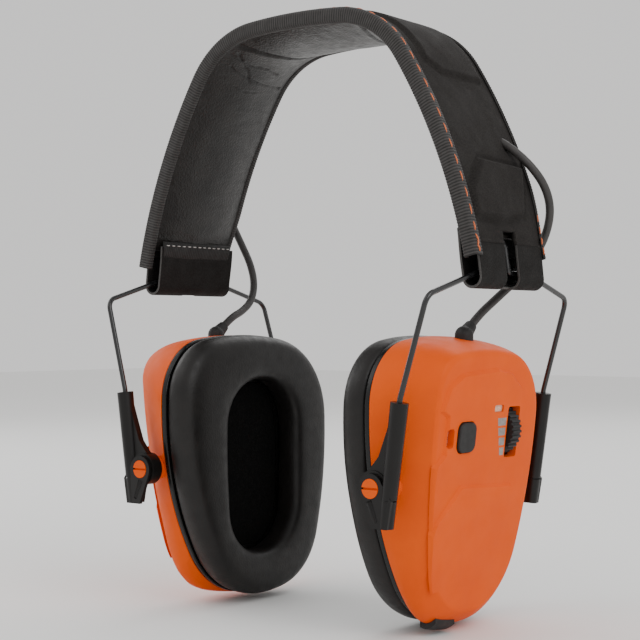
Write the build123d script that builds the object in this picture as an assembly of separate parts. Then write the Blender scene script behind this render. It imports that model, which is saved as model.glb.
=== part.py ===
"""Electronic folding earmuff: a padded headband, two wire yokes and two ear cups.

Millimetres, +Z up, front towards -Y, the cup with the controls at +X. The origin is the middle of
the wearer's head, halfway between the two ear cushions and level with the cups' pivot screws.
"""
from build123d import *
from math import sin, cos, tan, radians, pi, hypot
import os

os.makedirs("parts", exist_ok=True)

# ---- headband: the outer line is five tangent arcs, given by radius and by the angle where each ends
BAND_TOP = 166.5
CROWN_RADIUS, CROWN_END = 242.4, 5.0
SHOULDER_RADIUS, SHOULDER_END = 37.6, 57.4
SIDE_RADIUS, BINDING_END = 214.9, 78.3
COVER_END, PAD_END, SPRING_END = 77.0, 76.2, 74.5
BAND_HALF_WIDTH = 24.4
BINDING_THICKNESS = 0.8
FRONT_WRAP, REAR_WRAP, INNER_WRAP = 4.6, 1.6, 3.0
COVER_DEPTH = (0.9, 2.4)          # depths are measured inwards from the band's outer line
SPRING_DEPTH = (2.6, 3.4)
PAD_DEPTH = (3.5, 6.7)
PAD_EDGE_DEPTH = (3.5, 4.8)       # the pad's skin, which runs out to the edge under the binding
PAD_CROWN_DEPTH = (6.6, 8.6)
BINDING_INNER_DEPTH = (4.9, 5.6)
STRAP_DEPTH = (6.8, 7.8)
HEM_DEPTH = (7.9, 8.6)
SPRING_HALF_WIDTH = 9.5
LAYER_HALF_WIDTH = 23.4
PAD_HALF_WIDTH, PAD_CROWN_HALF_WIDTH = 20.6, 17.0
PAD_CROWN_END = 73.4
STRAP_START, HEM_START = 74.2, 74.9
STRAP_HALF_WIDTH = 17.4

# ---- end loops: a strap folded into a U below each end of the band
LOOP_CENTRE = (74.5, 69.3)
LOOP_RADIUS, LOOP_THICKNESS = 3.95, 1.0
LOOP_HALF_WIDTH = 20.6
LOOP_SLOT = 8.8

# ---- wire yoke, in the right side's frame
FOLD_AXIS = (74.5, 71.0)
WIRE_RADIUS = 0.95
RUNNING_CLEARANCE = 0.05
ELBOW_Y, KINK_Y = 2.6, 16.0
HAT_TOP = (72.9, 81.4)
WIRE_BEND = (73.4, 45.0, 62.8)

# ---- arms
BARREL_TOP = (63.3, 45.8, 28.2)
BARREL_BOTTOM = (57.9, 45.8, -12.6)
BARREL_RADII = (3.05, 2.5)
BARREL_SPLIT_Z = -3.6
WIRE_INSERTION = 36.0
PIVOT = (53.1, 0.0)
HUB_RADIUS, HUB_DEPTH = 5.9, (42.4, 46.8)
PLATE_DEPTH = (46.9, 48.2)
PLATE_RING_RADIUS = 4.9
SCREW_HEAD_RADIUS, SCREW_SHANK_RADIUS = 3.25, 1.6
BOSS_RADIUS = 4.2

# ---- ear cup: plan sections from the seal plate out to the face
# (x, front half width, rear half width, top, bottom, front side radius, front side end angle)
RIM = (48.2, 41.9, 42.1, 49.5, -51.5, 112.0, 120.5)
MIDDLE = (58.0, 37.8, 39.4, 48.4, -51.0, 180.0, 110.0)
FACE = (68.0, 31.0, 32.6, 44.5, -46.8, 240.0, 101.5)
FACE_TILT, TILT_Z = 7.0, 20.0     # the face leans in towards the bottom, turned about this height
REAR_SIDE_RADIUS, REAR_SIDE_END = 165.0, 105.0
CUP_LEAN = 0.08                   # how far the outline drifts to the rear per millimetre downwards
WALL = 2.2
FACE_ROUNDING = 2.4
PANEL_HEIGHT, PAD_HEIGHT = 1.0, 1.7   # above the face, both fading out towards the bottom
PLATE_FRONT, PLATE_BACK = 46.0, 48.2
CUSHION_FRONT, CUSHION_BACK = 34.0, 45.7
EAR_OPENING = (38.0, 66.0)
EAR_CENTRE = (2.0, -1.0)
FOAM_FRONT = 43.6
SPEAKER_RADIUS = 15.0
HOUSING_SCREW_PLACES = [(-24, 28), (25, 28), (-19, -27), (24, -29)]

# ---- controls on the right cup (y, z)
BUTTON_CENTRE, BUTTON_SIZE = (-14.6, 15.5), 10.2
BUTTON_TRAVEL = 0.8
MIC_CENTRE, MIC_SLOT = (-23.7, 15.5), (3.6, 6.6)
WINDOW_CENTRE, WINDOW_SIZE = (5.0, 24.5), (5.9, 2.5)
WHEEL_SLOT_CENTRE, WHEEL_SLOT = (15.0, 15.9), (7.8, 18.0)
WHEEL_RADIUS, WHEEL_TEETH, WHEEL_TOOTH = 9.1, 30, 0.6
WHEEL_SPAN = (12.0, 17.6)
WHEEL_CENTRE_X = 62.3
PORT_X, PORT_Y = (50.6, 57.0), (-16.0, -4.4)
SOCKET_X, SOCKET_Y = (51.4, 55.6), (-13.7, -6.7)
PORT_COVER_THICKNESS = 1.9

# ---- leads between the band and the cups
LEAD_RADIUS = 1.5
LEAD_Y, LEAD_DEPTH, LEAD_EXIT = 15.6, 4.3, 62.5
RELIEF_FOOT = (58.6, -0.6, 49.8)
RELIEF_COLLAR = (0.0, 4.4, 3.3)
RIGHT_ROUTE = [
    (60.2, 15.6, 120.3), (67.5, 15.9, 116.0), (73.6, 18.6, 110.0), (76.9, 23.6, 102.8),
    (77.2, 27.4, 94.6), (74.6, 28.6, 85.6), (70.2, 27.4, 77.4), (65.2, 23.4, 69.4),
    (61.2, 16.6, 62.8), (58.6, 8.6, 56.7),
]
LEFT_ROUTE = [
    (60.2, 15.6, 120.3), (67.5, 15.9, 116.0), (73.4, 18.8, 110.2), (76.2, 23.8, 103.2),
    (74.9, 27.6, 95.0), (70.9, 28.8, 86.8), (66.1, 28.6, 79.0), (62.8, 27.4, 70.8),
    (60.6, 23.0, 63.4), (59.4, 15.6, 59.0), (58.6, 8.6, 56.7),
]

BASE = (Align.CENTER, Align.CENTER, Align.MIN)


# ---------------------------------------------------------------- helpers
def block(x, y, z):
    """A box from three (low, high) pairs."""
    size = [abs(b - a) for a, b in (x, y, z)]
    centre = [(a + b) / 2 for a, b in (x, y, z)]
    return Pos(*centre) * Box(*size)


def rod(start, end, radius, end_radius=None):
    """A cylinder, or a cone, from one point to another."""
    axis = Vector(*end) - Vector(*start)
    place = Plane(origin=start, z_dir=axis).location
    if end_radius is None:
        return place * Cylinder(radius, axis.length, align=BASE)
    return place * Cone(radius, end_radius, axis.length, align=BASE)


def prism(points, y_low, y_high):
    """A polygon in X and Z, given depth along Y."""
    corners = [(x, y_low, z) for x, z in points]
    face = Face(Wire.make_polygon(corners, close=True))
    return extrude(face, amount=y_high - y_low, dir=(0, 1, 0))


def rounded_block(x, centre, size, radius):
    """A rounded rectangle in Y and Z, given depth along X."""
    plane = Plane(origin=(x[0], *centre), x_dir=(0, 1, 0), z_dir=(1, 0, 0))
    return extrude(plane * RectangleRounded(*size, radius), amount=x[1] - x[0], dir=(1, 0, 0))


def rounded_path(points, radii):
    return FilletPolyline(*points, radius=radii)


def tube(path, radius):
    """A round section carried along a path."""
    start = path @ 0
    section = Plane(origin=start, z_dir=path % 0) * Circle(radius)
    return sweep(section, path=path)


def other_side(shape):
    return mirror(shape, about=Plane.YZ)


def to_rear(shape):
    return mirror(shape, about=Plane.XZ)


def tilted(shape, x=FACE[0], angle=FACE_TILT):
    """A shape of the right cup's face, turned from upright to the face's lean."""
    return Pos(x, 0, TILT_Z) * Rot(0, angle, 0) * Pos(-x, 0, -TILT_Z) * shape


# ---------------------------------------------------------------- headband
CROWN_CENTRE = (0.0, BAND_TOP - CROWN_RADIUS)


def next_centre(centre, radius, next_radius, angle):
    """Where the next tangent arc has its centre."""
    step = radius - next_radius
    return (centre[0] + step * sin(radians(angle)), centre[1] + step * cos(radians(angle)))


SHOULDER_CENTRE = next_centre(CROWN_CENTRE, CROWN_RADIUS, SHOULDER_RADIUS, CROWN_END)
SIDE_CENTRE = next_centre(SHOULDER_CENTRE, SHOULDER_RADIUS, SIDE_RADIUS, SHOULDER_END)


def band_point(angle, depth):
    """A point of the band at an angle from the crown (left is negative) and a depth inwards."""
    turn = abs(angle)
    centre, radius = SIDE_CENTRE, SIDE_RADIUS
    if turn <= CROWN_END:
        centre, radius = CROWN_CENTRE, CROWN_RADIUS
    elif turn <= SHOULDER_END:
        centre, radius = SHOULDER_CENTRE, SHOULDER_RADIUS
    x = centre[0] + (radius - depth) * sin(radians(turn))
    z = centre[1] + (radius - depth) * cos(radians(turn))
    return (x if angle >= 0 else -x, z)


def band_line(depth, start, end, y):
    """The arcs of the band's line between two angles."""
    joints = [-SHOULDER_END, -CROWN_END, CROWN_END, SHOULDER_END]
    stops = [start, *[a for a in joints if start < a < end], end]
    arcs = []
    for a, b in zip(stops, stops[1:]):
        points = [band_point(angle, depth) for angle in (a, (a + b) / 2, b)]
        arcs.append(ThreePointArc(*[(x, y, z) for x, z in points]))
    return arcs


def band_layer(depths, start, end, y_low, y_high):
    """A layer of the band between two depths, two angles and two sides."""
    outer = band_line(depths[0], start, end, y_low)
    inner = band_line(depths[1], start, end, y_low)
    ends = [Line(outer[0] @ 0, inner[0] @ 0), Line(outer[-1] @ 1, inner[-1] @ 1)]
    face = Face(Wire([*outer, *inner, *ends]))
    return extrude(face, amount=y_high - y_low, dir=(0, 1, 0))


def make_band_cover():
    cover = band_layer(COVER_DEPTH, -COVER_END, COVER_END, -LAYER_HALF_WIDTH, LAYER_HALF_WIDTH)
    half_slot = LOOP_SLOT / 2
    lead_slit = (LEAD_Y - 1.9, LEAD_Y + 2.2)
    for side in (band_layer, lambda d, a, b, *y: band_layer(d, -b, -a, *y)):
        cover -= side((0, 3.4), COVER_END - 1.0, COVER_END + 1, -half_slot, half_slot)
        cover -= side((0, 3.4), LEAD_EXIT + 1.6, LEAD_EXIT + 6.4, *lead_slit)
    return cover


def make_band_pad():
    pad = band_layer(PAD_DEPTH, -PAD_END, PAD_END, -PAD_HALF_WIDTH, PAD_HALF_WIDTH)
    pad += band_layer(PAD_EDGE_DEPTH, -PAD_END, PAD_END, -LAYER_HALF_WIDTH, LAYER_HALF_WIDTH)
    end, half_width = PAD_CROWN_END, PAD_CROWN_HALF_WIDTH
    pad += band_layer(PAD_CROWN_DEPTH, -end, end, -half_width, half_width)
    groove = (LEAD_Y - LEAD_RADIUS - 0.3, LEAD_Y + LEAD_RADIUS + 0.4)
    reach = LEAD_EXIT + 6.4
    return pad - band_layer((2.5, LEAD_DEPTH + LEAD_RADIUS + 0.3), -reach, reach, *groove)


def make_binding(outer_wrap):
    """The front edge binding: a web along the edge and a flange on each face."""
    edge = -BAND_HALF_WIDTH
    web = edge + BINDING_THICKNESS
    inner_end = COVER_END - 0.1
    outer_flange = band_layer((0, BINDING_THICKNESS), -BINDING_END, BINDING_END, edge, edge + outer_wrap)
    middle = band_layer((0, BINDING_INNER_DEPTH[1]), -BINDING_END, BINDING_END, edge, web)
    inner_flange = band_layer(BINDING_INNER_DEPTH, -inner_end, inner_end, edge, edge + INNER_WRAP)
    return outer_flange + middle + inner_flange


def loop_prism(inset, top_angle):
    """The space inside a line set in from the loop's outer face, up to a ray of the band."""
    x, z = LOOP_CENTRE
    radius = LOOP_RADIUS - inset
    outer = band_point(top_angle, COVER_DEPTH[0] + inset)
    inner = band_point(top_angle, STRAP_DEPTH[1] - inset)
    sides = prism([(x - radius, z), (x + radius, z), outer, inner], -LOOP_HALF_WIDTH, LOOP_HALF_WIDTH)
    return sides + rod((x, -LOOP_HALF_WIDTH, z), (x, LOOP_HALF_WIDTH, z), radius)


def make_end_loop():
    """The strap of the right end: out of the cover's end, round and up under the pad's hem."""
    loop = loop_prism(0, COVER_END + 0.05) - loop_prism(LOOP_THICKNESS, COVER_END - 0.2)
    loop += band_layer(STRAP_DEPTH, STRAP_START, COVER_END + 0.1, -STRAP_HALF_WIDTH, STRAP_HALF_WIDTH)
    slot = block((LOOP_CENTRE[0] - 1.5, 90), (-LOOP_SLOT / 2, LOOP_SLOT / 2), (60, 90))
    return loop - slot - make_clip_rivets(1.05)


def make_wire_clip():
    """Two knuckles on a base that carry the yoke's cross wire inside the right loop."""
    x, z = FOLD_AXIS
    back = LOOP_CENTRE[0] - LOOP_RADIUS + LOOP_THICKNESS + 0.1
    base = block((back, back + 0.9), (-13, 13), (69.4, 76.4))
    base -= block((back - 1, back + 2), (-4.6, 4.6), (71.2, 80))
    knuckle = block((back, x + 1.9), (7, 12), (z - 1.9, z + 1.9))
    clip = base + knuckle + to_rear(knuckle)
    mouth = block((x - 0.75, x + 0.75), (-14, 14), (z, z + 3))
    bore = rod((x, -14, z), (x, 14, z), WIRE_RADIUS + RUNNING_CLEARANCE)
    return clip - bore - mouth - make_clip_rivets(1.05)


def make_clip_rivets(shank=1.0):
    """Two rivets that hold the right wire clip to the loop's inner wall."""
    rivets = []
    for y in (-10.0, 10.0):
        rivet = rod((70.6, y, 74.8), (73.1, y, 74.8), shank)
        rivet += rod((72.55, y, 74.8), (73.2, y, 74.8), 1.8)
        rivets.append(rivet)
    return rivets[0] + rivets[1] if shank > 1.0 else Compound(rivets)


# ---------------------------------------------------------------- yoke
def barrel_direction():
    return (Vector(*BARREL_TOP) - Vector(*BARREL_BOTTOM)).normalized()


def make_yoke_wire():
    """One bent wire: arm, bend, cross wire with a raised hat in the middle, and back down."""
    up = barrel_direction()
    mouth = Vector(*BARREL_TOP)
    foot, kink = mouth - up * WIRE_INSERTION, mouth + up * 1.2
    x, z = FOLD_AXIS
    half = [
        (foot.X, foot.Y, foot.Z), (kink.X, kink.Y, kink.Z), WIRE_BEND,
        (x, KINK_Y, z), (x, ELBOW_Y, z), (HAT_TOP[0], ELBOW_Y, HAT_TOP[1]),
    ]
    radii = [4.0, 4.5, 8.0, 1.9, 1.9]
    points = half + [(a, -b, c) for a, b, c in reversed(half)]
    return tube(rounded_path(points, radii + radii[::-1]), WIRE_RADIUS)


def barrel_below(z):
    """The point of the barrel's axis at a height."""
    top, bottom = Vector(*BARREL_TOP), Vector(*BARREL_BOTTOM)
    return bottom + (top - bottom) * ((z - bottom.Z) / (top.Z - bottom.Z))


def barrel_bore():
    """The wire's hole, for the rear arm."""
    start = Vector(*BARREL_TOP) + barrel_direction()
    end = Vector(*BARREL_TOP) - barrel_direction() * (WIRE_INSERTION + 1.5)
    return rod(tuple(start), tuple(end), WIRE_RADIUS + RUNNING_CLEARANCE)


def make_arm():
    """The right rear arm: barrel, web and hub, down to the split above the pivot plate."""
    x, z = PIVOT
    arm = rod(tuple(barrel_below(BARREL_SPLIT_Z)), BARREL_TOP, 2.65, BARREL_RADII[0])
    arm += rod((x, HUB_DEPTH[0], z), (x, HUB_DEPTH[1], z), HUB_RADIUS)
    web_edge = [
        (60.8, 25.0), (58.0, 17.5), (55.2, 10.4), (50.8, 5.3), (54.0, -3.4), (58.6, -3.5), (62.6, 24.0),
    ]
    arm += prism(web_edge, 44.0, 46.4)
    lower_half = block((40, 80), (40, 52), (-20, BARREL_SPLIT_Z))
    lower_half -= rod((x, 40, z), (x, HUB_DEPTH[1], z), HUB_RADIUS)
    arm -= lower_half
    arm -= rod((x, 40, z), (x, 50, z), SCREW_SHANK_RADIUS + RUNNING_CLEARANCE)
    return arm - barrel_bore()


def make_pivot_plate():
    """The right rear pivot plate: a ring under the screw's head and the grooved tab below it."""
    x, z = PIVOT
    tab = [(48.4, -1.5), (53.2, -12.9), (59.9, -12.9), (61.5, -3.75), (57.2, 2.5)]
    ring = rod((x, PLATE_DEPTH[0], z), (x, PLATE_DEPTH[1], z), PLATE_RING_RADIUS)
    plate = prism(tab, *PLATE_DEPTH) + ring
    keel = prism([(54.0, -7.0), (55.2, -12.7), (58.4, -12.7), (59.0, -7.0)], 43.6, PLATE_DEPTH[0] + 0.2)
    socket = rod(BARREL_BOTTOM, tuple(barrel_below(BARREL_SPLIT_Z - 0.05)), BARREL_RADII[1], 2.65)
    plate += keel + socket
    plate -= rod((x, 43, z), (x, HUB_DEPTH[1] + 0.02, z), HUB_RADIUS + 0.05)
    groove = rod((52.6, PLATE_DEPTH[1] + 0.5, -4.0), (55.6, PLATE_DEPTH[1] + 0.5, -11.0), 1.3, 0.9)
    plate -= groove
    split = BARREL_SPLIT_Z
    plate -= rod(tuple(barrel_below(split)), BARREL_TOP, 2.65 + 0.05, BARREL_RADII[0] + 0.05)
    plate -= rod((x, 40, z), (x, 50, z), SCREW_HEAD_RADIUS + 0.1)
    return plate - barrel_bore()


def make_pivot_screws():
    """The right cup's two shouldered screws, slotted across the head."""
    x, z = PIVOT
    y_head = (HUB_DEPTH[1] + 0.05, PLATE_DEPTH[1] + 0.15)
    screw = rod((x, 37.2, z), (x, y_head[0] + 0.1, z), SCREW_SHANK_RADIUS)
    screw += rod((x, y_head[0], z), (x, y_head[1], z), SCREW_HEAD_RADIUS)
    screw -= block((x - 4, x + 4), (y_head[1] - 0.8, y_head[1] + 1), (z - 0.35, z + 0.35))
    return Compound([screw, to_rear(screw)])


# ---------------------------------------------------------------- ear cup
def arc_points(start, radius, angle, end_angle):
    """Start, middle and end of an arc whose heading turns from one angle to another."""
    places = []
    for turn in (angle, (angle + end_angle) / 2, end_angle):
        across = radius * (sin(radians(turn)) - sin(radians(angle)))
        down = radius * (cos(radians(angle)) - cos(radians(turn)))
        places.append((start[0] + across, start[1] - down))
    return places


def half_outline(half_width, top, bottom, side, side_radius, side_end):
    """Radii and headings of five tangent arcs from the top of the cup round one side to its bottom.

    The upper corner's radius follows from the width, and the last two radii from closing the outline.
    """
    crown_end, corner_end, low_end = 9.0, 88.0, 168.0
    crown = 120.0 * (top - bottom) / 101.0
    s = {a: sin(radians(a)) for a in (crown_end, corner_end, side_end, low_end)}
    c = {a: cos(radians(a)) for a in (crown_end, corner_end, side_end, low_end)}
    start = -side * CUP_LEAN * top
    finish = -side * CUP_LEAN * bottom
    reach = half_width - start - crown * s[crown_end] - side_radius * (1 - s[corner_end])
    corner = reach / (s[corner_end] - s[crown_end])
    width_left = half_width - side_radius * (1 - s[side_end]) - finish
    height_left = top - bottom - crown * (1 - c[crown_end])
    height_left -= corner * (c[crown_end] - c[corner_end]) + side_radius * (c[corner_end] - c[side_end])
    # low * a + base * b = width_left and low * d + base * e = height_left
    a, b = s[side_end] - s[low_end], s[low_end]
    d, e = c[side_end] - c[low_end], c[low_end] + 1
    low = (width_left * e - height_left * b) / (a * e - d * b)
    base = (height_left * a - width_left * d) / (a * e - d * b)
    radii = [crown, corner, side_radius, low, base]
    return start, radii, [0.0, crown_end, corner_end, side_end, low_end, 180.0]


def cup_face(section, inset=0.0, x=None):
    """The cup's outline at one section, set in evenly, as a face in Y and Z."""
    place, front, rear, top, bottom, front_radius, front_end = section
    place = place if x is None else x
    edges = []
    halves = ((-1, front, front_radius, front_end), (1, rear, REAR_SIDE_RADIUS, REAR_SIDE_END))
    for side, half_width, radius, end in halves:
        start, radii, headings = half_outline(half_width, top, bottom, side, radius, end)
        point = (start, top - inset)
        for arc_radius, angle, end_angle in zip(radii, headings, headings[1:]):
            points = arc_points(point, arc_radius - inset, angle, end_angle)
            edges.append(ThreePointArc(*[(place, side * w, z) for w, z in points]))
            point = points[-1]
    return Face(Wire(edges))


def cup_body(inset=0.0, rim_x=RIM[0], face_x=FACE[0]):
    """The domed outer form of a cup, or a parallel one inside or outside it."""
    middle = tilted(cup_face(MIDDLE, inset), MIDDLE[0], FACE_TILT / 2)
    return loft([cup_face(RIM, inset, rim_x), middle, tilted(cup_face(FACE, inset, face_x))])


def rounded_body(face_x=FACE[0]):
    """The cup's outer form with its face at a given height and the face's edge rounded."""
    body = cup_body(0, face_x=face_x)
    return fillet(body.faces().sort_by(Axis.X)[-1].edges(), FACE_ROUNDING)


def cup_slab(section, x_low, x_high, inset=0.0):
    return extrude(cup_face(section, inset, x_low), amount=x_high - x_low, dir=(1, 0, 0))


def ear_hole(x_low, x_high, clearance):
    """The oblong through the cushion, or a plug that much smaller all round."""
    size = [length - 2 * clearance for length in EAR_OPENING]
    return rounded_block((x_low, x_high), EAR_CENTRE, size, size[0] / 2 - 1.0)


def raised_area(corners, height, profile):
    """A raised area of the cup's face with sloping edges, faded out by a profile in X and Z."""
    base = FACE[0] - 0.5
    wire = Wire.make_polygon([(base, y, z) for y, z in corners], close=True)
    area = extrude(Face(wire), amount=height + 0.5, dir=(1, 0, 0), taper=45)
    return tilted(area & prism(profile, -50, 50)) & rounded_body(FACE[0] + height)


def face_panel():
    """The raised plate round the controls, with a notch at the front."""
    corners = [
        (-35.0, -38.0), (-35.0, 3.6), (-26.6, 10.4), (-26.6, 22.2), (-31.0, 24.4), (-26.6, 33.6),
        (-18.8, 37.7), (3.0, 39.0), (12.0, 37.6), (20.6, 31.6), (26.6, 20.0), (28.0, 2.0),
        (22.0, -20.0), (14.0, -38.0),
    ]
    base, top = FACE[0] - 1, FACE[0] + PANEL_HEIGHT
    return raised_area(corners, PANEL_HEIGHT, [(base, 50), (top, 50), (top, 8), (FACE[0], -36), (base, -36)])


def name_pad():
    """The plain raised pad below the controls."""
    corners = [(-35.0, -38.0), (-28.6, -12.6), (-15.2, 0.4), (18.0, -1.6), (27.8, -12.6), (22.0, -38.0)]
    base, top = FACE[0] - 1, FACE[0] + PAD_HEIGHT
    return raised_area(corners, PAD_HEIGHT, [(base, 10), (top, 10), (top, -6), (FACE[0], -37), (base, -37)])


def screw_rods(radius, x_low, x_high):
    return [rod((x_low, y, z), (x_high, y, z), radius) for y, z in HOUSING_SCREW_PLACES]


def make_shell():
    """The plain cup shell with its raised face panel, screw posts, pivot bosses and lead hole."""
    shell = rounded_body() - cup_body(WALL, RIM[0] - 0.2, FACE[0] - WALL)
    for post in screw_rods(2.8, 52.0, 75.0):
        shell += post & cup_body(WALL / 2, face_x=FACE[0] - WALL / 2)
    x, z = PIVOT
    boss = rod((x, 34.5, z), (x, HUB_DEPTH[0] - 0.3, z), BOSS_RADIUS)
    shell += boss + to_rear(boss)
    shell += face_panel() + name_pad()
    bore = rod((x, 37.2, z), (x, 45, z), SCREW_SHANK_RADIUS)
    shell -= bore + to_rear(bore)
    for hole in screw_rods(1.1, 50.0, 60.0):
        shell -= hole
    foot = RELIEF_FOOT
    shell -= rod((foot[0], foot[1], 40), (foot[0], foot[1], 55), 3.35)
    return shell


def window_cut(x, centre, size, clearance=0.0):
    grown = [length + 2 * clearance for length in size]
    return rounded_block(x, centre, grown, min(grown) * 0.3)


def make_right_shell():
    """The right shell: the plain one with its control openings."""
    shell = make_shell()
    through = (60.0, 75.0)
    shell -= tilted(rounded_block(through, BUTTON_CENTRE, [BUTTON_SIZE + 0.6] * 2, 3.0))
    shell -= tilted(window_cut(through, MIC_CENTRE, MIC_SLOT))
    shell -= tilted(window_cut(through, WINDOW_CENTRE, WINDOW_SIZE))
    shell -= tilted(rounded_block(through, WHEEL_SLOT_CENTRE, WHEEL_SLOT, 1.0))
    return shell - block(SOCKET_X, SOCKET_Y, (-60, -40))


def make_left_shell():
    """The left shell, still at +X: the plain one with a microphone slot."""
    return make_shell() - tilted(window_cut((60.0, 75.0), MIC_CENTRE, MIC_SLOT))


def make_seal_plate():
    """The black plate between shell and cushion, with a lip that locates the shell."""
    plate = cup_slab(RIM, PLATE_FRONT, PLATE_BACK)
    plate = fillet(plate.faces().filter_by(Axis.X).edges(), 0.6)
    lip = (PLATE_BACK, PLATE_BACK + 1.8)
    plate += cup_slab(RIM, *lip, WALL + 2.2) - cup_slab(RIM, *lip, WALL + 3.4)
    for hole in screw_rods(1.15, PLATE_FRONT - 1, PLATE_BACK + 4):
        plate -= hole
    for recess in screw_rods(2.4, PLATE_FRONT - 1, PLATE_FRONT + 1.3):
        plate -= recess
    plate -= rod((PIVOT[0], -45, PIVOT[1]), (PIVOT[0], 45, PIVOT[1]), BOSS_RADIUS + 0.3)
    y, z = EAR_CENTRE
    return plate - rod((PLATE_FRONT - 1, y, z), (PLATE_BACK + 1, y, z), SPEAKER_RADIUS - 2)


def make_housing_screws():
    screws = []
    for y, z in HOUSING_SCREW_PLACES:
        screw = rod((PLATE_FRONT + 1.2, y, z), (59.0, y, z), 1.1)
        screws.append(screw + rod((PLATE_FRONT + 0.1, y, z), (PLATE_FRONT + 1.3, y, z), 2.2))
    return Compound(screws)


def make_cushion():
    cushion = cup_slab(RIM, CUSHION_FRONT, CUSHION_BACK, 0.6)
    front_edges = cushion.edges().filter_by(lambda e: abs(e.center().X - CUSHION_FRONT) < 0.01)
    cushion = fillet(front_edges, 4.0)
    return cushion - ear_hole(CUSHION_FRONT - 1, CUSHION_BACK + 1, 0)


def make_foam_insert():
    return ear_hole(FOAM_FRONT, CUSHION_BACK, 0.6)


def make_speaker():
    """The loudspeaker behind the seal plate: basket, magnet and terminal."""
    y, z = EAR_CENTRE
    front = PLATE_BACK + 0.05
    speaker = rod((front, y, z), (front + 3.0, y, z), SPEAKER_RADIUS)
    return speaker + rod((front + 3.0, y, z), (front + 6.5, y, z), 8.0)


def make_strain_relief():
    """The moulded relief on top of the cup: a round foot and a collar that tapers to the lead."""
    foot = Vector(*RELIEF_FOOT)
    collar = foot + Vector(*RELIEF_COLLAR)
    relief = rod((foot.X, foot.Y, 45.0), tuple(foot), 3.25)
    relief += Pos(*foot) * Sphere(3.25)
    relief += rod(tuple(foot), tuple(collar), 2.9, 2.1)
    return relief


def make_microphone():
    y, z = MIC_CENTRE
    return rod((61.8, y, z), (65.6, y, z), 2.2)


def make_mic_mesh():
    return window_cut((66.2, 66.6), MIC_CENTRE, MIC_SLOT, -0.1)


def make_indicator_window():
    return window_cut((66.3, FACE[0] + 0.3), WINDOW_CENTRE, WINDOW_SIZE, -0.1)


# ---------------------------------------------------------------- right cup's controls
def make_power_button():
    """The button's cap and the flange that keeps it in the shell."""
    cap = rounded_block((64.6, FACE[0] + PANEL_HEIGHT + 1.0), BUTTON_CENTRE, [BUTTON_SIZE] * 2, 2.8)
    outer_edges = cap.edges().filter_by(lambda e: e.center().X > FACE[0] + PANEL_HEIGHT + 0.95)
    cap = fillet(outer_edges, 0.6)
    return cap + rounded_block((64.6, 65.5), BUTTON_CENTRE, [BUTTON_SIZE + 1.6] * 2, 3.0)


def make_tact_switch():
    y, z = BUTTON_CENTRE
    body = block((59.7, 62.6), (y - 3, y + 3), (z - 3, z + 3))
    return body + rod((62.6, y, z), (63.6, y, z), 1.7)


def make_circuit_board():
    return block((58.0, 59.6), (-20.4, 4.8), (3.0, 31.0))


def wheel_rim(radius, tooth, teeth):
    """The knurled outline: each tooth is a flat with sloping sides."""
    points = []
    for k in range(teeth):
        for part, r in ((0.0, radius), (0.35, radius), (0.5, radius - tooth), (0.85, radius - tooth)):
            turn = 2 * pi * (k + part) / teeth
            points.append((WHEEL_CENTRE_X + r * cos(turn), WHEEL_SLOT_CENTRE[1] + r * sin(turn)))
    return points


def make_volume_wheel():
    x, z = WHEEL_CENTRE_X, WHEEL_SLOT_CENTRE[1]
    wheel = prism(wheel_rim(WHEEL_RADIUS, WHEEL_TOOTH, WHEEL_TEETH), *WHEEL_SPAN)
    return wheel - rod((x, WHEEL_SPAN[0] - 1, z), (x, WHEEL_SPAN[1] + 1, z), 1.5)


def make_potentiometer_shaft():
    x, z = WHEEL_CENTRE_X, WHEEL_SLOT_CENTRE[1]
    return rod((x, 7.6, z), (x, WHEEL_SPAN[1] + 0.4, z), 1.5)


def make_potentiometer():
    x, z = WHEEL_CENTRE_X, WHEEL_SLOT_CENTRE[1]
    body = block((x - 5.2, x + 3.4), (5.0, 11.0), (z - 5.2, z + 5.2))
    return body - rod((x, 7.5, z), (x, 12, z), 1.5 + RUNNING_CLEARANCE)


def make_port_cover():
    """The rubber cover under the cup: a curved skin on the shell with a stub in the opening."""
    patch = block(PORT_X, PORT_Y, (-60, -40))
    skin = (cup_body(-PORT_COVER_THICKNESS) & patch) - cup_body(-0.1)
    outside = [solid for solid in skin.solids() if solid.center().Z < -45]
    low, high = SOCKET_Y
    width = (SOCKET_X[0] + 0.2, SOCKET_X[1] - 0.2)
    stub = block(width, (low + 1.4, high - 0.2), (-50.6, -46.8)) & cup_body(-0.3)
    return outside[0] + stub


def make_charging_socket():
    low, high = SOCKET_Y
    socket = block(SOCKET_X, (low, high), (-44.6, -38.0))
    return socket - block((SOCKET_X[0] + 1, SOCKET_X[1] - 1), (low + 1, high - 1), (-45, -40.0))


def make_battery_cell():
    return rounded_block((60.2, 64.8), (3.0, -21.5), (30.0, 26.0), 2.0)


# ---------------------------------------------------------------- leads
def route_radii(points):
    """The largest arc that two neighbouring runs allow at each corner."""
    radii = []
    for a, b, c in zip(points, points[1:], points[2:]):
        before, after = Vector(*b) - Vector(*a), Vector(*c) - Vector(*b)
        half_turn = radians(before.get_angle(after)) / 2
        radii.append(0.45 * min(before.length, after.length) / tan(half_turn))
    return radii


def make_lead(name, route):
    """A lead from inside the band, out through the cover and down to the cup's strain relief."""
    x, z = band_point(LEAD_EXIT, LEAD_DEPTH)
    end = Vector(*RELIEF_FOOT) + Vector(*RELIEF_COLLAR)
    points = [(x, LEAD_Y, z), *route, tuple(end)]
    radii = route_radii(points)
    path = rounded_path(points, radii)
    lead = tube(path, LEAD_RADIUS)
    expected = pi * LEAD_RADIUS**2 * path.length
    print(name, "radii", [round(r, 1) for r in radii])
    ratio = round(lead.volume / expected, 4)
    print(name, "length", round(path.length, 1), "volume over section x length", ratio)
    return lead


def make_band_lead():
    """The lead's hidden stretch over the crown."""
    path = Wire(band_line(LEAD_DEPTH, -LEAD_EXIT, LEAD_EXIT, LEAD_Y))
    return tube(path, LEAD_RADIUS)


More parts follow.
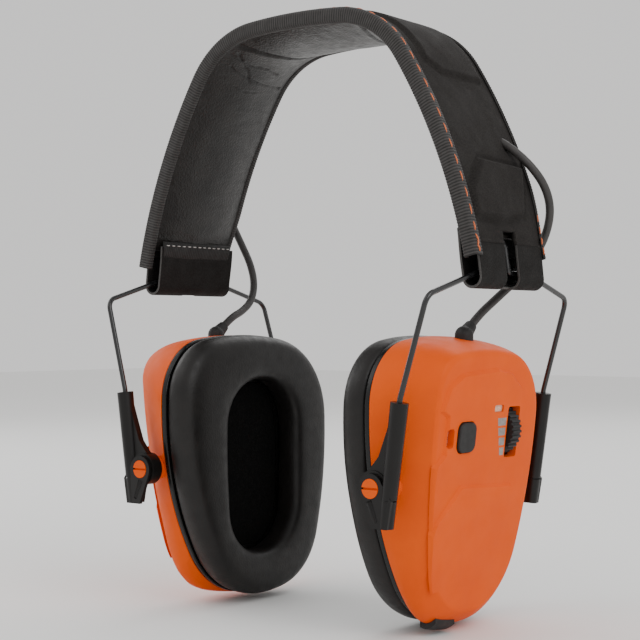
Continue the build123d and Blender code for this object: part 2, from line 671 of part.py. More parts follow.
# ---------------------------------------------------------------- assembly
def both_sides(name, shape):
    return {"right_" + name: shape, "left_" + name: other_side(shape)}


def build_nodes():
    layer = (-LAYER_HALF_WIDTH, LAYER_HALF_WIDTH)
    nodes = {
        "spring_band": band_layer(SPRING_DEPTH, -SPRING_END, SPRING_END, -SPRING_HALF_WIDTH, SPRING_HALF_WIDTH),
        "band_cover": make_band_cover(),
        "band_pad": make_band_pad(),
        "front_binding": make_binding(FRONT_WRAP),
        "rear_binding": to_rear(make_binding(REAR_WRAP)),
        "band_lead": make_band_lead(),
    }
    hem = band_layer(HEM_DEPTH, HEM_START, PAD_END + 0.2, -STRAP_HALF_WIDTH, STRAP_HALF_WIDTH)
    arm, plate = make_arm(), make_pivot_plate()
    for name, shape in (
        ("end_loop", make_end_loop()),
        ("pad_hem", hem),
        ("wire_clip", make_wire_clip()),
        ("clip_rivets", make_clip_rivets()),
        ("yoke_wire", make_yoke_wire()),
        ("front_arm", to_rear(arm)),
        ("rear_arm", arm),
        ("front_pivot_plate", to_rear(plate)),
        ("rear_pivot_plate", plate),
        ("pivot_screws", make_pivot_screws()),
        ("seal_plate", make_seal_plate()),
        ("housing_screws", make_housing_screws()),
        ("cushion", make_cushion()),
        ("foam_insert", make_foam_insert()),
        ("speaker", make_speaker()),
        ("strain_relief", make_strain_relief()),
        ("microphone", tilted(make_microphone())),
        ("mic_mesh", tilted(make_mic_mesh())),
    ):
        nodes.update(both_sides(name, shape))
    nodes["right_shell"] = make_right_shell()
    nodes["left_shell"] = other_side(make_left_shell())
    nodes["right_lead"] = make_lead("right_lead", RIGHT_ROUTE)
    nodes["left_lead"] = other_side(make_lead("left_lead", LEFT_ROUTE))
    nodes["indicator_window"] = tilted(make_indicator_window())
    nodes["power_button"] = tilted(make_power_button())
    nodes["tact_switch"] = tilted(make_tact_switch())
    nodes["circuit_board"] = tilted(make_circuit_board())
    nodes["volume_wheel"] = tilted(make_volume_wheel())
    nodes["potentiometer_shaft"] = tilted(make_potentiometer_shaft())
    nodes["potentiometer"] = tilted(make_potentiometer())
    nodes["port_cover"] = make_port_cover()
    nodes["charging_socket"] = make_charging_socket()
    nodes["battery_cell"] = tilted(make_battery_cell())
    return nodes


for node, shape in build_nodes().items():
    export_step(shape, f"parts/{node}.step")
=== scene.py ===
import math

import bmesh
import bpy
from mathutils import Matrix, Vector, noise


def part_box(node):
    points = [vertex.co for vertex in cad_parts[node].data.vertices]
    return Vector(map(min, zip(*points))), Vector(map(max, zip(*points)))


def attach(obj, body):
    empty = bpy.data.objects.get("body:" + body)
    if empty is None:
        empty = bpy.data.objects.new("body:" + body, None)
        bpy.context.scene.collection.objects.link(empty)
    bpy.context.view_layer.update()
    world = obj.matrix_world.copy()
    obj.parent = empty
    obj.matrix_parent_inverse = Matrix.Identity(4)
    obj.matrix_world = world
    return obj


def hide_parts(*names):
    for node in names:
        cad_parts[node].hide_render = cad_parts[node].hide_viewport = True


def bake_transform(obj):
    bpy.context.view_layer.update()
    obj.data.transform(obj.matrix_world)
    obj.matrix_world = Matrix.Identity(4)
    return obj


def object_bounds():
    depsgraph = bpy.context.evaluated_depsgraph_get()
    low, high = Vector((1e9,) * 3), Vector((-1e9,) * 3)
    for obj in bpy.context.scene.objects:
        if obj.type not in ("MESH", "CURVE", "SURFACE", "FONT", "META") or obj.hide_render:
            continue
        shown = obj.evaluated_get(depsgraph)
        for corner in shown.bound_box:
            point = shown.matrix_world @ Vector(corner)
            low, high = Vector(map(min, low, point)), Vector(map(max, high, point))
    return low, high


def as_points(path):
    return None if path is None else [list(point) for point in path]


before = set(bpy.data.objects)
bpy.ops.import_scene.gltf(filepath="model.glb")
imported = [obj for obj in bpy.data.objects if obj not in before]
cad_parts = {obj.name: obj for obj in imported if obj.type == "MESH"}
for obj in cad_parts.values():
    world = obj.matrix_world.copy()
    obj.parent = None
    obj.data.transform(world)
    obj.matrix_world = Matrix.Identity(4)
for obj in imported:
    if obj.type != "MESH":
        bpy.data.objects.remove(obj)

# A folding electronic earmuff: +Z is up, -Y the front, and +X the cup with the controls.
# Lengths are in millimetres until they go into a mesh, and MM turns them into metres.
MM = 0.001
cad_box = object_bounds()

# The headband's outer line: tangent arcs, each with its radius and the angle where it ends.
BAND_TOP = 166.5
CROWN_RADIUS, CROWN_END = 242.4, math.radians(5.0)
SHOULDER_RADIUS, SHOULDER_END = 37.6, math.radians(57.4)
SIDE_RADIUS = 214.9
COVER_HALF_LENGTH = 129.0
PAD_HALF_LENGTH = 126.0
BINDING_HALF_LENGTH = 133.5
BAND_HALF_WIDTH = 24.4
COVER_HALF_WIDTH = 23.5
BAND_EDGE_THICKNESS = 5.6
BAND_MIDDLE = (0, 0, 60)          # a point well inside the band's bow
REAR_TAPER = 0.10                 # how much the band's rear half narrows towards its ends
TAPER_START, TAPER_LENGTH = 106, 24
WIRE_SLOT_HALF_WIDTH = 4.4        # of the openings in the cover and the end loops over the clip

LEAD_DIAMETER = 3.0
SIDES = {"right": 1, "left": -1}


# ---------------------------------------------------------------- meshes
def add_object(name, vertices, faces, body, materials, smooth=True):
    """A mesh piece, given in millimetres, that rides on a body."""
    mesh = bpy.data.meshes.new(name)
    mesh.from_pydata([Vector(v) * MM for v in vertices], [], faces)
    obj = bpy.data.objects.new(name, mesh)
    bpy.context.scene.collection.objects.link(obj)
    for material in materials:
        mesh.materials.append(material)
    work = bmesh.new()
    work.from_mesh(mesh)
    bmesh.ops.recalc_face_normals(work, faces=work.faces)
    work.to_mesh(mesh)
    work.free()
    if smooth:
        mesh.shade_smooth()
    else:
        mesh.shade_flat()
    if body:
        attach(obj, body)
    return obj


def steps(low, high, size):
    """Evenly spaced values from low to high, about one size apart."""
    count = max(1, round(abs(high - low) / size))
    return [low + (high - low) * k / count for k in range(count + 1)]


def grid(us, vs, point, skip=None):
    """Vertices and faces of a sheet over us and vs, without the faces that skip names."""
    vertices = [point(u, v) for u in us for v in vs]
    faces = []
    for i in range(len(us) - 1):
        for j in range(len(vs) - 1):
            middle = ((us[i] + us[i + 1]) / 2, (vs[j] + vs[j + 1]) / 2)
            if skip and skip(*middle):
                continue
            a = i * len(vs) + j
            faces.append((a, a + 1, a + len(vs) + 1, a + len(vs)))
    return vertices, faces


def rings(sections, closed=False):
    """Vertices and faces of a body through rings of points, with capped ends unless it is closed."""
    count = len(sections[0])
    vertices = [p for ring in sections for p in ring]
    faces = []
    spans = len(sections) if closed else len(sections) - 1
    for i in range(spans):
        a, b = i * count, ((i + 1) % len(sections)) * count
        for j in range(count):
            k = (j + 1) % count
            faces.append((a + j, a + k, b + k, b + j))
    if not closed:
        faces.append(tuple(range(count)))
        faces.append(tuple(reversed(range(len(vertices) - count, len(vertices)))))
    return vertices, faces


def apply_modifiers(obj):
    """Turns what the modifiers show into the piece's own mesh."""
    depsgraph = bpy.context.evaluated_depsgraph_get()
    mesh = bpy.data.meshes.new_from_object(obj.evaluated_get(depsgraph))
    obj.modifiers.clear()
    obj.data = mesh
    mesh.shade_smooth()


def thicken(obj, thickness, rim_material=0):
    """Gives a sheet its thickness, on the side opposite to its normals."""
    solid = obj.modifiers.new("thickness", "SOLIDIFY")
    solid.thickness = thickness * MM
    solid.offset = -1
    solid.use_rim = True
    solid.material_offset_rim = rim_material
    apply_modifiers(obj)


def face_outward(obj, centre):
    """Turns a sheet's normals away from a point in millimetres."""
    centre = Vector(centre) * MM
    if sum((p.center - centre).dot(p.normal) * p.area for p in obj.data.polygons) < 0:
        obj.data.flip_normals()


def subdivide(obj):
    """Smooths a piece by one level of subdivision."""
    surface = obj.modifiers.new("subdivision", "SUBSURF")
    surface.levels = 1
    apply_modifiers(obj)


def displace(obj, height):
    """Moves every vertex along its normal by height(point in millimetres), in millimetres."""
    normals = [v.normal.copy() for v in obj.data.vertices]
    for vertex, normal in zip(obj.data.vertices, normals):
        vertex.co += normal * height(vertex.co / MM) * MM


def ease(t):
    """Goes smoothly from 0 to 1 as t does."""
    t = max(0.0, min(1.0, t))
    return t * t * (3 - 2 * t)


def bulge(distance, width):
    """1 in the middle, falling smoothly to 0 at a distance of width."""
    return 1 - ease(abs(distance) / width)


def wrinkle(point, scale):
    """Smooth noise of about -1 to 1 at a point in millimetres."""
    return noise.noise(Vector(point) / scale)


# ---------------------------------------------------------------- the band's line
def band_arc(s):
    """The arc at a length s along the band's outer line from the crown: centre, radius and turn."""
    crown_length = CROWN_RADIUS * CROWN_END
    shoulder_length = SHOULDER_RADIUS * (SHOULDER_END - CROWN_END)
    s = abs(s)
    x, z = 0.0, BAND_TOP - CROWN_RADIUS
    if s <= crown_length:
        return x, z, CROWN_RADIUS, s / CROWN_RADIUS
    s -= crown_length
    step = CROWN_RADIUS - SHOULDER_RADIUS
    x, z = x + step * math.sin(CROWN_END), z + step * math.cos(CROWN_END)
    if s <= shoulder_length:
        return x, z, SHOULDER_RADIUS, CROWN_END + s / SHOULDER_RADIUS
    step = SHOULDER_RADIUS - SIDE_RADIUS
    x, z = x + step * math.sin(SHOULDER_END), z + step * math.cos(SHOULDER_END)
    return x, z, SIDE_RADIUS, SHOULDER_END + (s - shoulder_length) / SIDE_RADIUS


def band_point(s, y, depth):
    """A point s along the band (left is negative), y across it and a depth inwards."""
    x, z, radius, turn = band_arc(s)
    side = 1 if s >= 0 else -1
    if y > 0:
        y *= 1 - REAR_TAPER * ease((abs(s) - TAPER_START) / TAPER_LENGTH)
    return side * (x + (radius - depth) * math.sin(turn)), y, z + (radius - depth) * math.cos(turn)


# ---------------------------------------------------------------- materials
class Material:
    """A Principled material with short calls for the nodes that feed it."""

    def __init__(self, name, color, roughness, **sockets):
        self.material = bpy.data.materials.new(name)
        self.material.use_nodes = True
        self.tree = self.material.node_tree
        self.shader = self.tree.nodes["Principled BSDF"]
        self.shader.inputs["Base Color"].default_value = (*color, 1)
        self.shader.inputs["Roughness"].default_value = roughness
        for socket, value in sockets.items():
            self.shader.inputs[socket.replace("_", " ")].default_value = value
        self.point = self.tree.nodes.new("ShaderNodeTexCoord").outputs["Object"]

    def add(self, kind, inputs, **settings):
        """A new node with its settings, and values or links for its inputs."""
        made = self.tree.nodes.new(kind)
        for key, value in settings.items():
            setattr(made, key, value)
        for key, value in inputs.items():
            if isinstance(value, bpy.types.NodeSocket):
                self.tree.links.new(value, made.inputs[key])
            else:
                made.inputs[key].default_value = value
        return made

    def noise(self, size, detail=2.0, roughness=0.5, point=None):
        """Noise whose features are about size millimetres across."""
        inputs = {"Vector": point or self.point, "Scale": 1 / (size * MM)}
        inputs |= {"Detail": detail, "Roughness": roughness}
        return self.add("ShaderNodeTexNoise", inputs).outputs["Fac"]

    def cells(self, size, feature="F1"):
        """The distance to the nearest cell centre or edge, for cells of that size."""
        inputs = {"Vector": self.point, "Scale": 1 / (size * MM)}
        return self.add("ShaderNodeTexVoronoi", inputs, feature=feature).outputs["Distance"]

    def stretched(self, x, y, z):
        """The surface point with each axis scaled, for streaks."""
        inputs = {"Vector": self.point, "Scale": (x, y, z)}
        return self.add("ShaderNodeMapping", inputs).outputs["Vector"]

    def math(self, operation, a, b):
        """The sum, product or other operation of two values."""
        return self.add("ShaderNodeMath", {0: a, 1: b}, operation=operation).outputs[0]

    def color(self, value, first, second, low=0.35, high=0.65):
        """Colours the surface from first to second as value goes from low to high."""
        ramp = self.add("ShaderNodeValToRGB", {"Fac": value})
        ramp.color_ramp.elements[0].position = low
        ramp.color_ramp.elements[0].color = (*first, 1)
        ramp.color_ramp.elements[1].position = high
        ramp.color_ramp.elements[1].color = (*second, 1)
        self.tree.links.new(ramp.outputs["Color"], self.shader.inputs["Base Color"])

    def rough(self, value, low, high):
        """Varies the roughness from low to high over the part of the range where noise mostly lies."""
        inputs = {"Value": value, "From Min": 0.3, "From Max": 0.7, "To Min": low, "To Max": high}
        spread = self.add("ShaderNodeMapRange", inputs).outputs["Result"]
        self.tree.links.new(spread, self.shader.inputs["Roughness"])

    def bump(self, *layers):
        """Bumps the surface by layers of (height, distance in millimetres)."""
        normal = None
        for height, distance in layers:
            inputs = {"Height": height, "Distance": distance * MM, "Strength": 1.0}
            if normal:
                inputs["Normal"] = normal
            normal = self.add("ShaderNodeBump", inputs).outputs["Normal"]
        self.tree.links.new(normal, self.shader.inputs["Normal"])


def moulded_plastic(name, dark, light, roughness, grain=0.012, specular=0.3):
    """Moulded plastic: a fine spark-eroded grain, faint clouds of colour and slight gloss changes."""
    m = Material(name, light, roughness, Specular_IOR_Level=specular)
    m.color(m.noise(14, 3), dark, light)
    m.rough(m.noise(5, 4), roughness - 0.05, roughness + 0.07)
    m.bump((m.noise(0.35, 3), grain), (m.noise(30, 1), 0.05))
    return m.material


def neoprene():
    """The cover: a tight knit face with a soft nap."""
    m = Material("neoprene", (0.012, 0.011, 0.0105), 0.9, Specular_IOR_Level=0.2)
    dark, light = (0.0085, 0.0074, 0.0068), (0.024, 0.0208, 0.0190)
    m.color(m.noise(0.5, 3, 0.7), dark, light, 0.38, 0.64)
    m.rough(m.noise(8, 2), 0.78, 0.92)
    m.bump((m.noise(0.45, 2, 0.7), 0.10), (m.noise(6, 2), 0.12))
    return m.material


def woven_tape(name, dark, light, ribbed=False):
    """Tape of fine threads; if its ribs are modelled, painted shade darkens it between them and a
    painted highlight lightens their ridges and the tape's edges.
    """
    m = Material(name, light, 0.8, Sheen_Weight=0.05)
    threads = m.noise(0.32, 3, 0.7)
    if ribbed:
        # the rib attribute holds painted shade in the ribs' valleys and a painted highlight on their
        # ridges and on the tape's two edges
        rib = m.add("ShaderNodeAttribute", {}, attribute_name="rib").outputs["Fac"]
        shade = m.math("ADD", m.math("MULTIPLY", rib, 0.7), m.math("MULTIPLY", threads, 0.5))
        m.color(shade, dark, light, 0.25, 0.85)
    else:
        m.color(threads, dark, light)
    m.rough(m.noise(3, 2), 0.7, 0.9)
    m.bump((m.noise(0.3, 2, 0.6), 0.08))
    return m.material


def webbing():
    """The loop's strap: a dense plain fabric."""
    m = Material("webbing", (0.01, 0.0095, 0.009), 0.85, Specular_IOR_Level=0.2)
    weave = m.cells(0.55)
    m.color(weave, (0.0165, 0.0148, 0.0138), (0.0085, 0.0076, 0.0070), 0.2, 0.6)
    m.rough(m.noise(5, 2), 0.75, 0.9)
    m.bump((weave, -0.06), (m.noise(0.3, 2), 0.04))
    return m.material


def leatherette(name, dark, light, roughness, creases, grain=0.035):
    """Soft vinyl: a pebbled grain and fine creases, both given as depths."""
    m = Material(name, light, roughness, Specular_IOR_Level=0.35)
    m.color(m.noise(9, 3), dark, light)
    m.rough(m.noise(3, 3), roughness - 0.06, roughness + 0.08)
    pebbles, pores = m.cells(0.8), m.noise(0.25, 2)
    folds = m.noise(3.2, 3, 0.6, m.stretched(1.0, 0.35, 1.6))
    m.bump((pebbles, grain), (pores, 0.012), (folds, creases))
    return m.material


def coated_wire():
    """The yoke's wire: steel under a smooth black coating."""
    m = Material("coated_wire", (0.006, 0.006, 0.0065), 0.3, Coat_Weight=0.25, Coat_Roughness=0.2)
    m.color(m.noise(6, 3), (0.005, 0.005, 0.0055), (0.009, 0.009, 0.0095))
    m.rough(m.noise(1.5, 3), 0.24, 0.36)
    m.bump((m.noise(0.5, 3), 0.012))
    return m.material


def rubber(name, dark, light, roughness):
    """Matte rubber, or the leads' jacket."""
    m = Material(name, light, roughness)
    m.color(m.noise(4, 3), dark, light)
    m.rough(m.noise(2, 3), roughness - 0.06, roughness + 0.08)
    m.bump((m.noise(0.3, 3), 0.02))
    return m.material


def open_foam():
    """The fabric-faced foam inside the ear opening, with a fuzzy nap."""
    m = Material("open_foam", (0.004, 0.004, 0.004), 0.95, Specular_IOR_Level=0.1)
    dark, light = (0.001, 0.001, 0.001), (0.009, 0.0085, 0.008)
    m.color(m.noise(0.7, 4, 0.75), dark, light, 0.45, 0.75)
    m.rough(m.noise(2, 2), 0.88, 0.98)
    m.bump((m.noise(0.6, 4, 0.7), 0.15))
    return m.material


def metal(name, color, roughness):
    """Bare or plated metal, a little uneven in gloss."""
    m = Material(name, color, roughness, Metallic=1.0)
    m.color(m.noise(2.5, 3), tuple(c * 0.85 for c in color), color)
    m.rough(m.noise(1.0, 4), roughness - 0.06, roughness + 0.1)
    m.bump((m.noise(0.2, 2), 0.006))
    return m.material


def circuit_board():
    """Green solder resist with faint copper tracks."""
    m = Material("circuit_board", (0.02, 0.13, 0.05), 0.4)
    tracks = m.cells(2.5, "DISTANCE_TO_EDGE")
    m.color(tracks, (0.05, 0.22, 0.09), (0.015, 0.10, 0.04), 0.03, 0.12)
    m.rough(m.noise(2, 2), 0.32, 0.45)
    m.bump((tracks, 0.03))
    return m.material


def foil():
    """The battery cell's crinkled pouch."""
    m = Material("foil", (0.6, 0.62, 0.65), 0.3, Metallic=0.7)
    m.color(m.noise(5, 3), (0.5, 0.52, 0.55), (0.7, 0.72, 0.74))
    m.rough(m.noise(3, 3), 0.25, 0.4)
    m.bump((m.noise(3, 3), 0.1))
    return m.material


def clear_window():
    """The milky indicator window."""
    m = Material("clear_window", (0.75, 0.42, 0.28), 0.25, Transmission_Weight=0.15)
    m.color(m.noise(2.5, 2), (0.70, 0.36, 0.22), (0.82, 0.52, 0.36))
    m.rough(m.noise(1, 2), 0.2, 0.3)
    m.bump((m.noise(1.2, 2), 0.02))
    return m.material


def mesh_grille():
    """Fine woven mesh over the microphone, modelled as dots in the finish."""
    m = Material("mesh_grille", (0.5, 0.22, 0.16), 0.45, Metallic=0.4)
    dots = m.cells(0.75)
    m.color(dots, (0.16, 0.05, 0.03), (0.58, 0.28, 0.20), 0.22, 0.34)
    m.rough(m.noise(1, 2), 0.4, 0.55)
    m.bump((dots, 0.12))
    return m.material


def print_ink():
    """The pale printed marks."""
    m = Material("print_ink", (0.27, 0.24, 0.22), 0.55)
    m.color(m.noise(1.2, 3), (0.23, 0.20, 0.18), (0.31, 0.28, 0.26))
    m.rough(m.noise(1.0, 2), 0.45, 0.6)
    m.bump((m.noise(0.3, 2), 0.01))
    return m.material


def thread(name, dark, light):
    """Sewing thread, twisted."""
    m = Material(name, light, 0.6, Sheen_Weight=0.3)
    inputs = {"Vector": m.point, "Scale": 900.0, "Distortion": 3.0}
    twist = m.add("ShaderNodeTexWave", inputs).outputs["Fac"]
    m.color(twist, dark, light, 0.2, 0.7)
    m.rough(m.noise(1, 2), 0.5, 0.7)
    m.bump((twist, 0.05))
    return m.material


M = {
    "orange": moulded_plastic(
        "orange_plastic", (0.750, 0.086, 0.0010), (0.790, 0.096, 0.0012), 0.5, specular=0.10),
    "black": moulded_plastic("black_plastic", (0.0040, 0.0033, 0.0030), (0.0068, 0.0058, 0.0054), 0.38),
    "gloss_black": moulded_plastic(
        "rim_plastic", (0.0040, 0.0038, 0.0036), (0.0070, 0.0068, 0.0065), 0.25, 0.004),
    "neoprene": neoprene(),
    # the binding tape's dark and light colours are the painted shade in its ribs' valleys and the
    # painted highlight on their ridges and edges
    "tape": woven_tape("binding_tape", (0.0050, 0.0046, 0.0044), (0.044, 0.040, 0.038), True),
    "hem_tape": woven_tape("hem_tape", (0.006, 0.0054, 0.005), (0.016, 0.0145, 0.0138)),
    "webbing": webbing(),
    # a much lighter copy of the tape for the loop strap's cut edges: a painted highlight
    "strap_edge_highlight": woven_tape("strap_edge_highlight", (0.030, 0.028, 0.027), (0.085, 0.080, 0.076)),
    "pad": leatherette(
        "pad_leatherette", (0.0085, 0.0073, 0.0067), (0.0155, 0.0135, 0.0123), 0.36, 0.2, 0.12),
    "cushion": leatherette(
        "cushion_leatherette", (0.0048, 0.0038, 0.0034), (0.0080, 0.0065, 0.0058), 0.46, 0.03),
    "wire": coated_wire(),
    "rubber": rubber("black_rubber", (0.0045, 0.0038, 0.0035), (0.0080, 0.0069, 0.0064), 0.62),
    "lead": rubber("lead_jacket", (0.027, 0.0242, 0.0230), (0.038, 0.0345, 0.0325), 0.5),
    "foam": open_foam(),
    "steel": metal("plated_steel", (0.55, 0.55, 0.56), 0.3),
    "dark_steel": metal("dark_steel", (0.10, 0.10, 0.11), 0.4),
    "board": circuit_board(),
    "foil": foil(),
    "window": clear_window(),
    "grille": mesh_grille(),
    "ink": print_ink(),
    "orange_thread": thread("orange_thread", (0.42, 0.075, 0.012), (0.78, 0.17, 0.035)),
    "grey_thread": thread("grey_thread", (0.20, 0.19, 0.18), (0.46, 0.44, 0.42)),
}


# ---------------------------------------------------------------- camera, light and floor
CAMERA_AZIMUTH, CAMERA_ELEVATION = math.radians(38.63), math.radians(-0.37)
CAMERA_TARGET, CAMERA_DISTANCE = (-3.7, -3.0, 55.3), 542
CAMERA_LENS, SENSOR_WIDTH = 81.56, 36.0


def make_camera():
    """The camera, level with the object and turned from its front towards the right cup."""
    out = Vector((math.sin(CAMERA_AZIMUTH), -math.cos(CAMERA_AZIMUTH), 0)) * math.cos(CAMERA_ELEVATION)
    out.z = math.sin(CAMERA_ELEVATION)
    data = bpy.data.cameras.new("camera")
    data.lens, data.sensor_width = CAMERA_LENS, SENSOR_WIDTH
    data.clip_start = 0.01
    camera = bpy.data.objects.new("camera", data)
    camera.location = (Vector(CAMERA_TARGET) + out * CAMERA_DISTANCE) * MM
    camera.rotation_euler = (-out).to_track_quat("-Z", "Y").to_euler()
    bpy.context.scene.collection.objects.link(camera)
    bpy.context.scene.camera = camera


SOFTBOXES = (                     # (place, size, power), in metres and watts
    ((-0.55, -0.75, 0.95), 0.8, 2.6),
    ((0.95, -0.20, 0.75), 0.7, 5.0),
    ((-0.20, 0.90, 0.80), 0.8, 3.0),
    ((-0.95, 0.05, 0.40), 0.6, 2.2),
)
LIGHTS_AIM = Vector((0, 0, 0.05))


def make_lights():
    """Soft boxes round the object, and a pale surround."""
    for place, size, power in SOFTBOXES:
        light = bpy.data.lights.new("softbox", "AREA")
        light.size, light.energy = size, power
        lamp = bpy.data.objects.new("softbox", light)
        lamp.location = place
        lamp.rotation_euler = (LIGHTS_AIM - Vector(place)).to_track_quat("-Z", "Y").to_euler()
        bpy.context.scene.collection.objects.link(lamp)
    world = bpy.data.worlds.new("surround")
    world.use_nodes = True
    background = world.node_tree.nodes["Background"]
    background.inputs["Color"].default_value = (1.0, 0.99, 0.98, 1)
    background.inputs["Strength"].default_value = 0.9
    bpy.context.scene.world = world


def make_floor():
    """A plain floor just under the cups."""
    gap, size = 0.4, 2500
    level = cad_box[0][2] / MM - gap
    corners = [(-size, -size, level), (size, -size, level), (size, size, level), (-size, size, level)]
    pale = Material("floor", (0.86, 0.86, 0.85), 0.7)
    pale.rough(pale.noise(40, 2), 0.65, 0.8)
    add_object("floor", corners, [(0, 1, 2, 3)], None, [pale.material])


# ---------------------------------------------------------------- leads
UPPER_STRETCH, LOWER_STRETCH = 34.0, 31.0     # of a lead, from the band and from the cup
BLEND_START, BLEND_END = 0.12, 0.88           # the shares of a stretch at which a point near each end is found
RIGHT_ROUTE = [
    (55.3, 15.6, 129.7), (60.2, 15.6, 120.3), (67.5, 15.9, 116.0), (73.6, 18.6, 110.0),
    (76.9, 23.6, 102.8), (77.2, 27.4, 94.6), (74.6, 28.6, 85.6), (70.2, 27.4, 77.4),
    (65.2, 23.4, 69.4), (61.2, 16.6, 62.8), (58.6, 8.6, 56.7), (58.6, 3.8, 53.1),
]
LEFT_ROUTE = [
    (-55.3, 15.6, 129.7), (-60.2, 15.6, 120.3), (-67.5, 15.9, 116.0), (-73.4, 18.8, 110.2),
    (-76.2, 23.8, 103.2), (-74.9, 27.6, 95.0), (-70.9, 28.8, 86.8), (-66.1, 28.6, 79.0),
    (-62.8, 27.4, 70.8), (-60.6, 23.0, 63.4), (-59.4, 15.6, 59.0), (-58.6, 8.6, 56.7),
    (-58.6, 3.8, 53.1),
]


def spline_points(route):
    """Points read from the smooth curve of a route, in metres."""
    curve = bpy.data.curves.new("route", "CURVE")
    curve.dimensions = "3D"
    curve.resolution_u = 16
    spline = curve.splines.new("NURBS")
    spline.points.add(len(route) - 1)
    for control, place in zip(spline.points, route):
        control.co = (*(Vector(place) * MM), 1)
    spline.order_u = 3
    spline.use_endpoint_u = True
    holder = bpy.data.objects.new("route", curve)
    bpy.context.scene.collection.objects.link(holder)
    bpy.context.view_layer.update()
    line = bpy.data.meshes.new_from_object(holder)
    points = [v.co.copy() for v in line.vertices]
    bpy.data.objects.remove(holder)
    return points


def tube(name, points, diameter, material, sides=20):
    """A round tube along points in metres, with rings that don't twist."""
    directions = [(b - a).normalized() for a, b in zip(points, points[1:])]
    directions.append(directions[-1])
    across = directions[0].orthogonal().normalized()
    sections = []
    for point, direction in zip(points, directions):
        across = (across - direction * across.dot(direction)).normalized()
        up = direction.cross(across)
        ring = []
        for k in range(sides):
            turn = 2 * math.pi * k / sides
            offset = across * math.cos(turn) + up * math.sin(turn)
            ring.append((point + offset * diameter * MM / 2) / MM)
        sections.append(ring)
    return add_object(name, *rings(sections), None, [material])


def path_length(points):
    """The length of a line of points."""
    return sum((b - a).length for a, b in zip(points, points[1:]))


def cut_at(points, marks):
    """Splits a line of points into stretches at the given lengths along it."""
    parts, part, walked = [], [points[0]], 0.0
    for a, b in zip(points, points[1:]):
        span = (b - a).length
        while marks and walked + span > marks[0]:
            place = a.lerp(b, (marks.pop(0) - walked) / span)
            parts.append(part + [place])
            part = [place]
        part.append(b)
        walked += span
    return parts + [part]


def make_lead(side, route):
    """One lead in three stretches: one from the band, one from the cup and the part between."""
    points = spline_points(route)
    parts = cut_at(points, [UPPER_STRETCH * MM, path_length(points) - LOWER_STRETCH * MM])
    for k, part in enumerate(parts):
        piece = tube(f"{side}_lead_{k + 1}", part, LEAD_DIAMETER, M["lead"])
        near, far = (part[0].lerp(part[-1], share) for share in (BLEND_START, BLEND_END))
        tuple(near)
        tuple(far)
        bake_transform(piece)
        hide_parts(side + "_lead")
        facts = {"length": path_length(part), "diameter": LEAD_DIAMETER * MM, "far_end": "object"}
        tuple(part[0])
        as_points(part)


# ---------------------------------------------------------------- headband
RAISED_PADS = (                   # (corners in length and width, height, depth of the groove round it)
    ([(98.7, -6.6), (102.9, -10.7), (110.8, -17.8), (119.8, -18.8), (120.5, -3.4), (117.7, 12.4),
      (99.8, 19.9)], 1.6, 0.6),
    ([(-80.0, -13.6), (59.0, -13.6), (63.5, -7.0), (64.0, 18.0), (-80.0, 18.0)], 1.2, 0.25),
)
RAISED_SLOPE = 1.7                # the width of a raised pad's sloping edge
GROOVE_AWAY, GROOVE_HALF_WIDTH = 1.2, 1.3


def min_depth(point, corners):
    """How far a point is inside a convex outline given anticlockwise, negative outside."""
    depths = []
    for (x0, y0), (x1, y1) in zip(corners, corners[1:] + corners[:1]):
        side = (x1 - x0) * (point[1] - y0) - (y1 - y0) * (point[0] - x0)
        depths.append(side / math.hypot(x1 - x0, y1 - y0))
    return min(depths)


def emboss(s, y):
    """How far the cover's raised pads stand out at a place on it."""
    total = 0.0
    for outline, height, groove in RAISED_PADS:
        inside = min_depth((abs(s), y), outline)
        rise = height * ease(0.5 + inside / RAISED_SLOPE)
        total += rise - groove * bulge(inside + GROOVE_AWAY, GROOVE_HALF_WIDTH)
    return total


COVER_DEPTH = 0.55                # of the cover's outer face below the band's outer line
COVER_ROLL = 0.55                 # how much deeper the face is along its edges
LEAD_HOLE, PUCKER_RADIUS, PUCKER_DEPTH = (91.3, 15.6), 4.0, 0.9
END_CREASE, END_CREASE_HALF_WIDTH, END_CREASE_DEPTH = 127.4, 1.1, 0.35
COVER_NOTCH_START = 124.5         # where the slot for the yoke's clip begins
COVER_THICKNESS, COVER_MESH = 1.3, 0.75


def cover_depth(s, y):
    """The depth of the cover's outer face: rolled at its edges, and puckered round the lead's hole."""
    roll = COVER_ROLL * (abs(y) / COVER_HALF_WIDTH) ** 6
    away = math.hypot(abs(s) - LEAD_HOLE[0], 1.3 * (y - LEAD_HOLE[1]))
    pucker = PUCKER_DEPTH * bulge(away, PUCKER_RADIUS)
    crease = END_CREASE_DEPTH * bulge(abs(s) - END_CREASE, END_CREASE_HALF_WIDTH)
    ripple = 0.10 * wrinkle((s, y * 0.8, 3), 11) + 0.05 * wrinkle((s, y, 9), 4)
    return COVER_DEPTH + roll - emboss(s, y) - ripple + pucker + crease


def make_cover():
    """The band's outer cover, with a notch at each end."""
    def point(s, y):
        return band_point(s, y, cover_depth(s, y))

    def notch(s, y):
        return abs(s) > COVER_NOTCH_START and abs(y) < WIRE_SLOT_HALF_WIDTH

    along = steps(-COVER_HALF_LENGTH, COVER_HALF_LENGTH, COVER_MESH)
    across = steps(-COVER_HALF_WIDTH, COVER_HALF_WIDTH, COVER_MESH)
    cover = add_object("cover_skin", *grid(along, across, point, notch), "headband", [M["neoprene"]])
    face_outward(cover, BAND_MIDDLE)
    thicken(cover, COVER_THICKNESS)
    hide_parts("band_cover")


